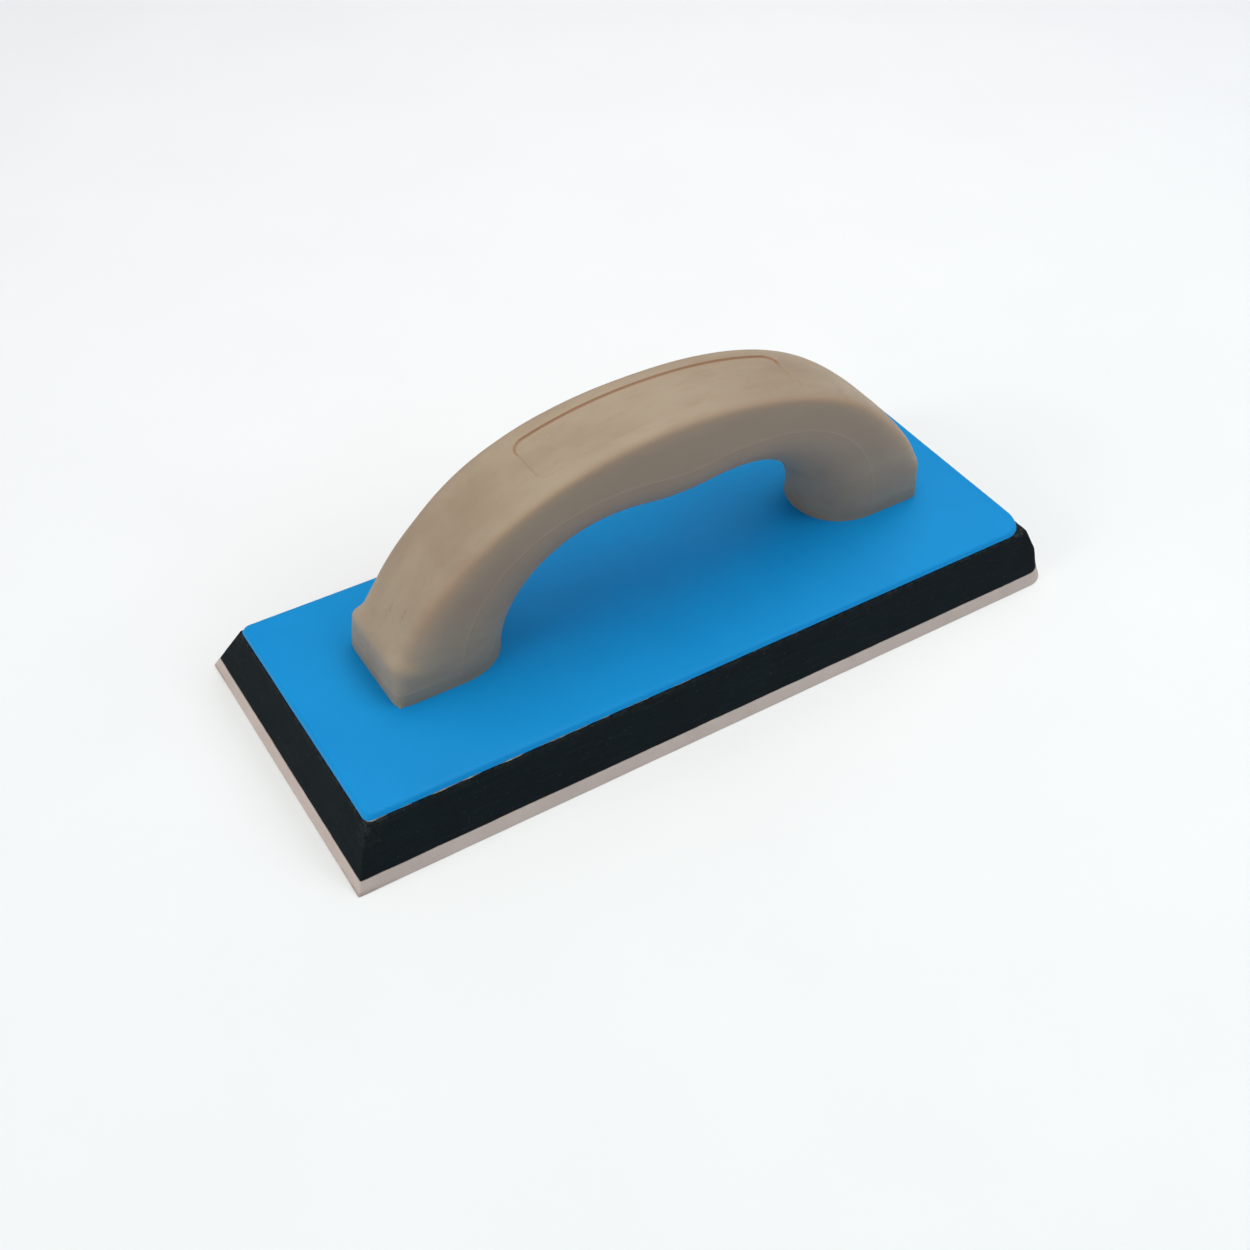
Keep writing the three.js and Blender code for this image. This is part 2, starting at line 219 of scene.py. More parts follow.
class Finish:
    """Builds one Principled material from nodes in object space, where a unit is a metre."""

    def __init__(self, name):
        self.material = bpy.data.materials.new(name)
        self.material.use_nodes = True
        self.tree = self.material.node_tree
        self.shader = self.tree.nodes["Principled BSDF"]
        self.place = self.tree.nodes.new("ShaderNodeTexCoord").outputs["Object"]

    def feed(self, socket, value):
        """Links a socket to another one, or sets its value."""
        if isinstance(value, bpy.types.NodeSocket):
            self.tree.links.new(value, socket)
        else:
            socket.default_value = value

    def set(self, name, value):
        self.feed(self.shader.inputs[name], value)

    def stretched(self, stretch):
        mapping = self.tree.nodes.new("ShaderNodeMapping")
        self.feed(mapping.inputs["Vector"], self.place)
        mapping.inputs["Scale"].default_value = stretch
        return mapping.outputs["Vector"]

    def noise(self, size, detail=3.0, rough=0.5, stretch=(1, 1, 1)):
        """Noise whose features are about size across. A stretch below 1 lengthens them."""
        node = self.tree.nodes.new("ShaderNodeTexNoise")
        self.feed(node.inputs["Vector"], self.stretched(stretch))
        node.inputs["Scale"].default_value = 1 / size
        node.inputs["Detail"].default_value = detail
        node.inputs["Roughness"].default_value = rough
        return node.outputs["Fac"]

    def cells(self, size):
        """Distance to the middle of the nearest cell, 0 there and up to about 1 at its edge."""
        node = self.tree.nodes.new("ShaderNodeTexVoronoi")
        self.feed(node.inputs["Vector"], self.place)
        node.inputs["Scale"].default_value = 1 / size
        return node.outputs["Distance"]

    def attribute(self, name):
        node = self.tree.nodes.new("ShaderNodeAttribute")
        node.attribute_name = name
        return node.outputs["Fac"]

    def axis(self, name):
        node = self.tree.nodes.new("ShaderNodeSeparateXYZ")
        self.feed(node.inputs["Vector"], self.place)
        return node.outputs[name]

    def reach(self, value, start, end, low=0.0, high=1.0):
        """Value mapped smoothly from start..end to low..high, and held beyond them."""
        node = self.tree.nodes.new("ShaderNodeMapRange")
        node.interpolation_type = "SMOOTHSTEP"
        self.feed(node.inputs["Value"], value)
        for socket, number in (("From Min", start), ("From Max", end), ("To Min", low), ("To Max", high)):
            node.inputs[socket].default_value = number
        return node.outputs["Result"]

    def math(self, operation, first, second):
        node = self.tree.nodes.new("ShaderNodeMath")
        node.operation = operation
        self.feed(node.inputs[0], first)
        self.feed(node.inputs[1], second)
        return node.outputs["Value"]

    def vector_math(self, operation, first, second):
        node = self.tree.nodes.new("ShaderNodeVectorMath")
        node.operation = operation
        self.feed(node.inputs[0], first)
        self.feed(node.inputs[1], second)
        return node

    def spot(self, centre, reach):
        """1 at a point, falling smoothly to 0 on an ellipsoid with a reach along each axis."""
        away = self.vector_math("SUBTRACT", self.place, centre).outputs["Vector"]
        scaled = self.vector_math("DIVIDE", away, reach).outputs["Vector"]
        return self.reach(self.vector_math("LENGTH", scaled, (0, 0, 0)).outputs["Value"], 1.0, 0.0)

    def tinted(self, colour, amount, strength, tint):
        """A colour mixed towards a tint where amount is 1, at most by strength."""
        return self.mix(self.math("MULTIPLY", amount, strength), colour, tint)

    def mix(self, factor, first, second):
        node = self.tree.nodes.new("ShaderNodeMix")
        node.data_type = "RGBA"
        self.feed(node.inputs["Factor"], factor)
        self.feed(node.inputs["A"], first)
        self.feed(node.inputs["B"], second)
        return next(s for s in node.outputs if s.type == "RGBA")

    def bump(self, height, depth, under=None):
        """A normal from a height of 0 to 1 that stands for depth, on top of another normal."""
        node = self.tree.nodes.new("ShaderNodeBump")
        self.feed(node.inputs["Height"], height)
        node.inputs["Distance"].default_value = depth
        if under is not None:
            self.feed(node.inputs["Normal"], under)
        return node.outputs["Normal"]


def floor_material():
    finish = Finish("pale_floor")
    tint = finish.mix(finish.noise(60 * MM), linear(243, 243, 243), linear(247, 247, 247))
    finish.set("Base Color", tint)
    finish.set("Roughness", 0.9)
    finish.set("Specular IOR Level", 0.1)
    return finish.material


def gum_material():
    """Pale pinkish gum rubber: cloudy, with fine pores and the marks of the blade along its edge."""
    finish = Finish("gum_rubber")
    cloud = finish.noise(9 * MM, 4.0, 0.6)
    colour = finish.mix(cloud, linear(188, 170, 162), linear(212, 196, 187))
    grain = finish.reach(finish.noise(0.5 * MM, 2.0), 0.62, 0.75)
    colour = finish.tinted(colour, grain, 0.25, linear(128, 108, 96))
    streak = finish.noise(0.35 * MM, 2.0, 0.5, (0.05, 0.05, 1))
    colour = finish.tinted(colour, streak, 0.16, linear(150, 132, 122))
    stain = finish.math("MULTIPLY", finish.attribute("wear"), finish.reach(cloud, 0.3, 0.6))
    colour = finish.tinted(colour, stain, 0.55, linear(132, 104, 86))
    finish.set("Base Color", colour)
    finish.set("Roughness", finish.reach(cloud, 0.3, 0.7, 0.72, 0.86))
    finish.set("Specular IOR Level", 0.3)
    pores = finish.reach(finish.cells(0.45 * MM), 0.0, 0.35)
    normal = finish.bump(pores, 0.02 * MM)
    finish.set("Normal", finish.bump(streak, 0.03 * MM, normal))
    return finish.material


def foam_material():
    """Black closed cell foam with a cut face: open cells, blade streaks and pale specks of dust."""
    finish = Finish("black_foam")
    cloud = finish.noise(14 * MM, 4.0, 0.6)
    colour = finish.mix(cloud, linear(11, 19, 22), linear(20, 29, 32))
    streak = finish.noise(0.7 * MM, 3.0, 0.6, (0.06, 0.06, 1))
    colour = finish.mix(finish.reach(streak, 0.5, 0.8, 0.0, 0.5), colour, linear(34, 42, 45))
    speck = finish.reach(finish.noise(0.9 * MM, 1.0), 0.68, 0.76)
    colour = finish.tinted(colour, speck, 0.2, linear(72, 78, 78))
    # Lighter grey where 'wear' is high: wear at the nicks and square corners, lighter along the top edge,
    # and painted light on the bare foam that faces up beside the plate's corners.
    patch = finish.reach(finish.noise(1.6 * MM, 3.0, 0.7), 0.42, 0.62)
    worn_and_lit = finish.math("MULTIPLY", finish.attribute("wear"), patch)
    colour = finish.tinted(colour, worn_and_lit, 0.5, linear(66, 68, 66))
    finish.set("Base Color", colour)
    finish.set("Roughness", 0.88)
    finish.set("Specular IOR Level", 0.12)
    open_cells = finish.reach(finish.cells(0.55 * MM), 0.05, 0.5)
    normal = finish.bump(open_cells, 0.06 * MM)
    finish.set("Normal", finish.bump(streak, 0.08 * MM, normal))
    return finish.material


def glue_material():
    """Dried contact cement: tan, darker and redder in places."""
    finish = Finish("contact_cement")
    cloud = finish.noise(2.5 * MM, 4.0, 0.7)
    colour = finish.mix(finish.reach(cloud, 0.35, 0.65), linear(136, 108, 78), linear(196, 180, 148))
    finish.set("Base Color", colour)
    finish.set("Roughness", finish.reach(cloud, 0.3, 0.7, 0.35, 0.6))
    finish.set("Normal", finish.bump(finish.noise(0.5 * MM), 0.05 * MM))
    return finish.material


def plate_material():
    """Bright blue satin plastic, faintly cloudy, with a fine grain and a few hairline scuffs."""
    finish = Finish("blue_plate")
    cloud = finish.noise(28 * MM, 4.0, 0.55)
    colour = finish.mix(cloud, linear(16, 134, 200), linear(22, 147, 214))
    hair = finish.reach(finish.noise(0.6 * MM, 2.0, 0.5, (0.03, 1, 1)), 0.68, 0.8)
    scuffed = finish.math("MULTIPLY", hair, finish.reach(finish.noise(22 * MM), 0.5, 0.7))
    colour = finish.tinted(colour, scuffed, 0.1, linear(90, 168, 214))
    finish.set("Base Color", colour)
    rougher = finish.math("MULTIPLY", scuffed, 0.12)
    finish.set("Roughness", finish.math("ADD", finish.reach(cloud, 0.3, 0.7, 0.4, 0.5), rougher))
    finish.set("Specular IOR Level", 0.08)
    peel = finish.noise(1.1 * MM, 2.0, 0.4)
    finish.set("Normal", finish.bump(peel, 0.012 * MM))
    return finish.material


def handle_material():
    """Tan structural foam plastic: faint swirls along the grip, warmer in a painted shading band on its
    shoulders.
    """
    finish = Finish("tan_handle")
    cloud = finish.noise(24 * MM, 5.0, 0.6, (0.45, 1, 1))
    colour = finish.mix(finish.reach(cloud, 0.3, 0.7), linear(155, 134, 112), linear(169, 150, 127))
    swirl = finish.noise(3.2 * MM, 5.0, 0.65, (0.25, 1, 1))
    colour = finish.mix(finish.reach(swirl, 0.52, 0.75, 0.0, 0.25), colour, linear(150, 124, 98))
    # Painted shade: surfaces that face sideways are darkened, standing in for the dimmer light on the
    # sides.
    colour = finish.tinted(colour, finish.attribute("side"), 0.8, linear(146, 127, 109))
    # Painted shade: a warmer, more orange band on the shoulders, where the lit crown turns into the shaded
    # side.
    colour = finish.tinted(colour, finish.attribute("shoulder_shading_band"), 0.3, linear(168, 130, 98))
    # Painted shade: the panel's sunk wall is darkened and reddened as if in shadow.
    colour = finish.tinted(colour, finish.attribute("panel_wall_shade"), 0.75, linear(150, 98, 62))
    # Painted highlight: the mould's parting and base lines are lightened as if they catch the light.
    colour = finish.tinted(colour, finish.attribute("parting"), 0.15, linear(190, 174, 150))
    ragged = finish.reach(finish.noise(1.2 * MM, 3.0, 0.6), 0.3, 0.6)
    for place in SCUFF_PLACES:
        scuffed = finish.math("MULTIPLY", ragged, finish.spot(place, SCUFF_REACH))
        colour = finish.tinted(colour, scuffed, 0.4, linear(132, 90, 68))
    # Painted shade: darker over the bottom 6 mm, where the handle stands on the plate.
    base_shade = finish.reach(finish.axis("Z"), PLATE_TOP + 6 * MM, PLATE_TOP)
    colour = finish.tinted(colour, base_shade, 0.1, linear(96, 88, 76))
    finish.set("Base Color", colour)
    finish.set("Roughness", finish.reach(swirl, 0.3, 0.7, 0.5, 0.62))
    finish.set("Specular IOR Level", 0.35)
    skin_grain = finish.noise(0.8 * MM, 3.0, 0.5)
    normal = finish.bump(skin_grain, 0.012 * MM)
    finish.set("Normal", finish.bump(swirl, 0.03 * MM, normal))
    return finish.material


def screw_material():
    """Zinc plated steel with a faint yellow passivation and fine turning marks."""
    finish = Finish("zinc_screw")
    cloud = finish.noise(1.5 * MM, 3.0)
    finish.set("Base Color", finish.mix(cloud, linear(206, 208, 210), linear(222, 216, 196)))
    finish.set("Metallic", 1.0)
    finish.set("Roughness", finish.reach(cloud, 0.3, 0.7, 0.22, 0.36))
    finish.set("Normal", finish.bump(finish.noise(0.2 * MM, 2.0, 0.5, (0.2, 0.2, 1)), 0.01 * MM))
    return finish.material


# ---------------------------------------------------------------- mesh helpers

GRADING_STEPS = 4000  # steps in which a graded spacing is summed up


def grid_faces(rows, columns):
    """Quads over rows of points, each row a closed ring."""
    faces = []
    for start in range(0, (rows - 1) * columns, columns):
        for column in range(columns):
            a = start + column
            b = start + (column + 1) % columns
            faces.append((a, b, b + columns, a + columns))
    return faces


def skin(rings):
    """A closed skin over rings, each counterclockwise seen from the last one, with flat ends."""
    rows, columns = rings.shape[:2]
    last = (rows - 1) * columns
    faces = grid_faces(rows, columns)
    faces.append(tuple(reversed(range(columns))))
    faces.append(tuple(range(last, last + columns)))
    return rings.reshape(-1, 3), faces


def turned(profile, segments):
    """Rings of a round solid about the Z axis, from [radius, height] pairs going upwards."""
    angles = np.linspace(0, 2 * math.pi, segments, endpoint=False)
    rings = [[(r * math.cos(a), r * math.sin(a), z) for a in angles] for r, z in profile]
    return np.array(rings)


def wander(points, size, shift=0.0):
    """Smooth noise, about -1 to 1, at each point, with features about size across."""
    return np.array([noise.noise(Vector(p) / size + Vector((shift, 0, 0))) for p in points])


def step(values, start, end):
    """0 before start and 1 after end, smooth between them."""
    t = np.clip((values - start) / (end - start), 0, 1)
    return t * t * (3 - 2 * t)


def graded(start, end, gap, fine_gap, fine_bands):
    """Numbers from start to end, gap apart, and fine_gap apart within the bands."""
    dense = np.linspace(start, end, GRADING_STEPS + 1)
    gaps = np.full(len(dense), gap)
    for low, high in fine_bands:
        gaps[(dense >= low) & (dense <= high)] = fine_gap
    count = np.concatenate([[0], np.cumsum((end - start) / GRADING_STEPS / gaps[1:])])
    return np.interp(np.linspace(0, count[-1], math.ceil(count[-1]) + 1), count, dense)


def make_object(name, points, faces):
    mesh = bpy.data.meshes.new(name)
    mesh.from_pydata([tuple(p) for p in points], [], faces)
    made = bpy.data.objects.new(name, mesh)
    bpy.context.scene.collection.objects.link(made)
    return made


def cut_away(piece, solids):
    """Takes solids, each given as rings, out of a piece."""
    points, faces = [], []
    for rings in solids:
        solid_points, solid_faces = skin(rings)
        faces += [tuple(i + len(points) for i in face) for face in solid_faces]
        points += solid_points.tolist()
    cutter = make_object("cutter", points, faces)
    modifier = piece.modifiers.new("cut", "BOOLEAN")
    modifier.operation = "DIFFERENCE"
    modifier.solver = "EXACT"
    modifier.object = cutter
    graph = bpy.context.evaluated_depsgraph_get()
    mesh = bpy.data.meshes.new_from_object(piece.evaluated_get(graph))
    piece.modifiers.clear()
    piece.data = mesh
    bpy.data.objects.remove(cutter)


def add_attribute(piece, name, values):
    attribute = piece.data.attributes.new(name, "FLOAT", "POINT")
    attribute.data.foreach_set("value", np.asarray(values, np.float32))


def finish_piece(piece, node, material, sharp_angle=40):
    """Shades a piece, and puts it in the place of its CAD node."""
    piece.data.materials.clear()
    piece.data.materials.append(material)
    piece.data.shade_smooth()
    piece.data.set_sharp_from_angle(angle=math.radians(sharp_angle))
    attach(piece, "root")
    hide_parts(node)


# ---------------------------------------------------------------- pad

PAD_GAP = 1.0 * MM  # between points along a side
SQUARE_STEPS = 6  # round a nearly square corner
ROUND_STEPS = 18  # round a rounded corner
LEAST_RADIUS = 0.1 * MM
CAP_MARGIN = 0.97  # the flat margin's inner outline, as a share of the outer one
WEAR_REACH = 5 * MM  # over which the square corners' wear fades
WEAR_SETBACK = 8 * MM  # of full wear from the two edges
LEDGE_DEPTH = 18 * MM  # of the bare foam beside the plate's corners
GLUE_SETBACK = 0.45 * MM  # of the films from the foam's or the plate's edge
GLUE_BULGE = 0.3  # thickening of a squeezed out edge, as a share of its spread
FACE_GLUE_SPREAD = 0.4 * MM
PLATE_GLUE_SPREAD = 0.7 * MM


def bevel_outline(height, extra, rounded, square):
    """An outline of the pad, counterclockwise, and the outward direction at each of its points."""
    slopes = np.array([END_BEVEL_SLOPE, SIDE_BEVEL_SLOPE])
    half = np.array([PAD_HALF_LENGTH, PAD_HALF_WIDTH]) - height * slopes - extra
    corners = [
        (-1, -1, square, SQUARE_STEPS),
        (1, -1, rounded, ROUND_STEPS),
        (1, 1, rounded, ROUND_STEPS),
        (-1, 1, square, SQUARE_STEPS),
    ]
    sides = [PAD_HALF_LENGTH * 2, PAD_HALF_WIDTH * 2] * 2
    points, outward = [], []
    for index, (side_x, side_y, radius, steps) in enumerate(corners):
        centre = (half - radius) * (side_x, side_y)
        for turn in range(steps + 1):
            angle = math.pi * (1 + index / 2 + turn / steps / 2)
            outward.append((math.cos(angle), math.sin(angle)))
            points.append(centre + radius * np.array(outward[-1]))
        next_x, next_y, next_radius, _ = corners[(index + 1) % 4]
        next_centre = (half - next_radius) * (next_x, next_y)
        next_start = next_centre + next_radius * np.array(outward[-1])
        start = points[-1]
        count = round(sides[index] / PAD_GAP)
        for stride in range(1, count):
            points.append(start + (next_start - start) * stride / count)
            outward.append(outward[-1])
    return np.array(points), np.array(outward)


def gum_radii(height):
    """The rubber's corner radii at a height."""
    return GUM_ROUND_CORNER - height * GUM_CORNER_TAPER, SQUARE_CORNER


def foam_radii(height):
    """The foam's corner radii at a height."""
    shrunk = FOAM_ROUND_CORNER - (height - FOAM_BOTTOM) * ROUND_CORNER_TAPER
    return max(shrunk, SHARPEST_CORNER), SQUARE_CORNER


def plate_radii(height):
    """The plate's corner radii, the same at every height."""
    return PLATE_ROUND_CORNER, PLATE_SQUARE_CORNER


def pad_rings(rows, radii):
    """Rings of an outline with its corner radii, from (height, extra inset) pairs going upwards."""
    rings = []
    for height, extra in rows:
        rounded, square = [max(radius - extra, LEAST_RADIUS) for radius in radii(height)]
        points, outward = bevel_outline(height, extra, rounded, square)
        rings.append(np.column_stack([points, np.full(len(points), height)]))
    return np.array(rings), outward


def pushed_out(rings, outward, amounts):
    """The rings with each point moved outward by its amount."""
    moved = rings.copy()
    moved[:, :, :2] += outward[None] * amounts[:, :, None]
    return moved


def edge_rows(bottom, top, bottom_radius, top_radius, gap):
    """(height, extra inset) pairs up an edge that is rounded at its bottom and its top."""
    rows = []
    for angle in np.radians([0, 30, 60]):
        rise = bottom_radius * (1 - math.cos(angle))
        rows.append((bottom + rise, bottom_radius * (1 - math.sin(angle))))
    low, high = bottom + bottom_radius, top - top_radius
    count = max(1, round((high - low) / gap))
    rows += [(low + (high - low) * i / count, 0.0) for i in range(count + 1)]
    for angle in np.radians([30, 60, 90]):
        rise = top_radius * math.sin(angle)
        rows.append((high + rise, top_radius * (1 - math.cos(angle))))
    return rows


def capped(rings):
    """The rings with a flat margin added inside the first and the last one."""
    flats = []
    for ring in (rings[0], rings[-1]):
        level = np.full(len(ring), ring[:, 2].mean())
        flats.append(np.column_stack([ring[:, :2] * CAP_MARGIN, level]))
    return np.concatenate([flats[:1], rings, flats[1:]])


def corner_closeness(rings):
    """1 at the two square corners, falling to 0 within a few millimetres."""
    end = PAD_HALF_LENGTH - WEAR_SETBACK
    side = PAD_HALF_WIDTH - WEAR_SETBACK
    near_end = step(-rings[:, :, 0], end - WEAR_REACH, end)
    near_side = step(np.abs(rings[:, :, 1]), side - WEAR_REACH, side)
    return near_end * near_side


def make_gum():
    """The gum rubber sheet: nearly square edges, a little ragged where the knife left the glue line."""
    rows = edge_rows(0.0, GUM_TOP, 0.15 * MM, 0.12 * MM, 0.5 * MM)
    rings, outward = pad_rings(rows, gum_radii)
    flat = rings.reshape(-1, 3)
    shape = rings.shape[:2]
    upward = (rings[:, :, 2] / GUM_TOP) ** 4
    waves = 0.05 * MM * wander(flat, 11 * MM).reshape(shape) - 0.06 * MM
    ragged = 0.09 * MM * wander(flat * (1, 1, 0), 2.2 * MM, 7.0).reshape(shape) * upward
    rings = pushed_out(rings, outward, waves + 0.5 * ragged)
    rings[:, :, 2] += ragged
    wear = corner_closeness(rings) * step(-rings[:, :, 2], -1.6 * MM, 0.0)
    rings, wear = capped(rings), np.pad(wear, ((1, 1), (0, 0)))
    piece = make_object("gum_rubber_sheet", *skin(rings))
    add_attribute(piece, "wear", wear.ravel())
    finish_piece(piece, "gum_rubber_face", gum_material())


def make_foam():
    """The foam core: bevelled by a blade, so its walls wander a little and its top edge is nicked."""
    rows = edge_rows(FOAM_BOTTOM, FOAM_TOP, 0.12 * MM, 0.35 * MM, 0.8 * MM)
    rings, outward = pad_rings(rows, foam_radii)
    flat = rings.reshape(-1, 3)
    shape = rings.shape[:2]
    up = (rings[:, :, 2] - FOAM_BOTTOM) / (FOAM_TOP - FOAM_BOTTOM)
    waves = 0.12 * MM * wander(flat, 17 * MM, 3.0).reshape(shape)
    tears = 0.05 * MM * wander(flat, 2.4 * MM, 5.0).reshape(shape)
    nicks = step(wander(flat * (1, 1, 0), 2.6 * MM, 9.0), 0.25, 0.7).reshape(shape)
    nicks *= step(up, 0.93, 1.0)
    rings = pushed_out(rings, outward, waves + tears - 0.1 * MM - 0.25 * MM * nicks)
    edge = step(up, 0.82, 1.0) ** 2
    mitre = corner_closeness(rings) * step(up, 0.35, 1.0)
    x, y = np.abs(rings[:, :, 0]), np.abs(rings[:, :, 1])
    # Painted light: the bare foam top beside the plate's corners faces up and is lightened as if lit.
    lit_ledge = step(x, PAD_HALF_LENGTH - LEDGE_DEPTH, PAD_HALF_LENGTH - 9 * MM)
    lit_ledge *= step(y, PAD_HALF_WIDTH - LEDGE_DEPTH, PAD_HALF_WIDTH - 11 * MM)
    lit_ledge *= step(up, 0.95, 1.0)
    # Lighter along the top edge and at the square corners and nicks, plus the painted light on the bare
    # ledge.
    wear = np.clip(0.55 * edge + 0.6 * mitre + 0.4 * nicks + lit_ledge, 0, 1)
    rings, wear = capped(rings), np.pad(wear, ((1, 1), (0, 0)), mode="edge")
    piece = make_object("foam_block", *skin(rings))
    add_attribute(piece, "wear", wear.ravel())
    finish_piece(piece, "foam_core", foam_material())


def make_glue(name, node, bottom, top, radii, most_spread, material):
    """A film of contact cement, pulled back from the edges but squeezed out in places."""
    half = (top - bottom) / 2
    middle = bottom + half
    angles = np.radians([-90, -60, -30, 0, 30, 60, 90])
    rings, outward = pad_rings([(middle, 0.0)] * len(angles), radii)
    ring = rings[0]
    amount = step(wander(ring * (1, 1, 0), 7 * MM, 13.0), -0.45, 0.55)
    amount *= 0.75 + 0.25 * wander(ring * (1, 1, 0), 1.1 * MM, 17.0)
    toward_left = step(-ring[:, 0], -0.4 * PAD_HALF_LENGTH, 0.8 * PAD_HALF_LENGTH)
    amount *= np.where(outward[:, 1] < -0.5, 0.25 + 0.75 * toward_left, 0.2)
    spread = most_spread * np.clip(amount, 0, 1)
    sideways = np.cos(angles)[:, None] * spread[None] - GLUE_SETBACK
    rings = pushed_out(rings, outward, sideways)
    rings[:, :, 2] += np.sin(angles)[:, None] * (half + GLUE_BULGE * spread[None])
    piece = make_object(name, *skin(capped(rings)))
    finish_piece(piece, node, material)


def make_plate(material):
    """The backing plate, with a softened top edge and a countersunk hole for each screw."""
    rows = edge_rows(PLATE_BOTTOM, PLATE_TOP, 0.15 * MM, PLATE_EDGE_RADIUS, 0.3 * MM)
    rings, outward = pad_rings(rows, plate_radii)
    waves = 0.05 * MM * wander(rings.reshape(-1, 3) * (1, 1, 0), 15 * MM, 21.0)
    rings = pushed_out(rings, outward, waves.reshape(rings.shape[:2]) - 0.05 * MM)
    piece = make_object("blue_plate", *skin(capped(rings)))
    wide = HEAD_RADIUS + SCREW_CLEARANCE
    narrow = SCREW_RADIUS + SCREW_CLEARANCE
    cone_start = PLATE_BOTTOM + HEAD_LAND + SCREW_CLEARANCE
    profile = [
        (wide, PLATE_BOTTOM - 1 * MM),
        (wide, cone_start),
        (narrow, cone_start + wide - narrow),
        (narrow, PLATE_TOP + 1 * MM),
    ]
    cut_away(piece, [turned(profile, 48) + (*place, 0.0) for place in screw_places()])
    finish_piece(piece, "backing_plate", material)


# ---------------------------------------------------------------- handle

STATION_GAP = 1.3 * MM  # between rings along the crown
FINE_GAP = 0.32 * MM  # the same at the feet and the panel's ends
FOOT_DETAIL = 9 * MM  # length of crown that has fine rings at each end
PANEL_BAND = 10 * MM  # half of the crown's width that has lines for the panel
PANEL_LINES = graded(0, PANEL_BAND, 1.2 * MM, FINE_GAP, [(4.4 * MM, 9.4 * MM)])
SIDE_LINES = 26  # from the panel's band to the parting line
HAND_LINES = 24  # from the parting line to the middle of the hand side
CURVE_POINTS = 500  # in each stretch of the three lines before they are spaced out
SOFTENING_POINTS = 3001
QUARTER_POINTS = 700
FLAT_HEIGHT = 2.5 * MM  # of the stretch at the feet that is only pushed sideways


def crown_height(angle):
    """Height of the crown's superellipse at an angle, 0 at its end and a right angle at its top."""
    return CROWN_CENTRE + (CROWN_HEIGHT - CROWN_CENTRE) * np.sin(angle) ** (2 / CROWN_POWER)


def crown_reach(angle):
    """Distance of the crown's superellipse from its middle at an angle."""
    return CROWN_HALF_LENGTH * np.cos(angle) ** (2 / CROWN_POWER)


def crown_angle(reach):
    """The angle at which the crown's superellipse is that far from its middle."""
    return math.acos((reach / CROWN_HALF_LENGTH) ** (CROWN_POWER / 2))


def straight(first, last, share):
    """Points from one point to another."""
    return np.array(first) + (np.array(last) - first) * share[:, None]


def crown_line(flare_reach, share):
    """Dense points of the crown, from the left foot's base to the middle of the grip."""
    toe = HANDLE_HALF_LENGTH - END_FACE_LEAN
    toe_angle = crown_angle(toe - TOE_FLARE)
    toe_height = crown_height(toe_angle)
    shoulder_angle = crown_angle(CROWN_GRIP_RATIO * (OPENING[0] - OPENING[2]))
    parts = [straight((-HANDLE_HALF_LENGTH, 0.0), (-toe, toe_height), share)]
    for start, end in ((toe_angle, shoulder_angle), (shoulder_angle, math.pi / 2)):
        angle = start + (end - start) * share
        height = crown_height(angle)
        flare = TOE_FLARE * np.exp(-((height - toe_height) / flare_reach) ** 2)
        parts.append(np.column_stack([-crown_reach(angle) - flare, height]))
    parts.append([[0.0, CROWN_HEIGHT]])
    return np.concatenate(parts)


def arch_line(outline, share):
    """Matching points of the opening or the parting line."""
    half_length, leg, bend_x, bend_z, power, swell = outline
    bend_end = half_length - bend_x
    ceiling = leg + bend_z
    angle = share * math.pi / 2
    bend = np.column_stack([
        -bend_end - bend_x * np.cos(angle) ** (2 / power),
        leg + bend_z * np.sin(angle) ** (2 / power),
    ])
    grip = np.column_stack([
        -bend_end * ((1 - share) ** 3 + 1.5 * share * (1 - share)),
        ceiling - swell * (3 * share**2 * (1 - share) + share**3),
    ])
    foot = straight((-half_length, 0.0), (-half_length, leg), share)
    return np.concatenate([foot, bend, grip, [[0.0, ceiling - swell]]])


def handle_curves(count):
    """Matching points of the crown, the parting line and the opening, from left to right."""
    share = np.linspace(0, 1, count, endpoint=False)
    arches = [arch_line(PARTING, share), arch_line(OPENING, share)]
    left = [crown_line(LEFT_FLARE_REACH, share), *arches]
    right = [crown_line(RIGHT_FLARE_REACH, share), *arches]
    return [np.concatenate([a, b[-2::-1] * (-1, 1)]) for a, b in zip(left, right)]


def along(points):
    """Distance along a line of points, from its first one."""
    steps = np.linalg.norm(np.diff(points, axis=0), axis=1)
    return np.concatenate([[0], np.cumsum(steps)])


def softened(line, distance, reach):
    """The line with its kinks rounded over about reach, and its ends where they were."""
    even = np.linspace(0, distance[-1], SOFTENING_POINTS)
    spacing = even[1]
    width = math.ceil(4 * reach / spacing)
    weights = np.exp(-0.5 * (np.arange(-width, width + 1) * spacing / reach) ** 2)
    weights /= weights.sum()
    softer = []
    for values in line.T:
        row = np.interp(even, distance, values)
        before = 2 * row[0] - row[width:0:-1]
        after = 2 * row[-1] - row[-2:-width - 2:-1]
        row = np.convolve(np.concatenate([before, row, after]), weights, "valid")
        softer.append(np.interp(distance, even, row))
    return np.column_stack(softer)


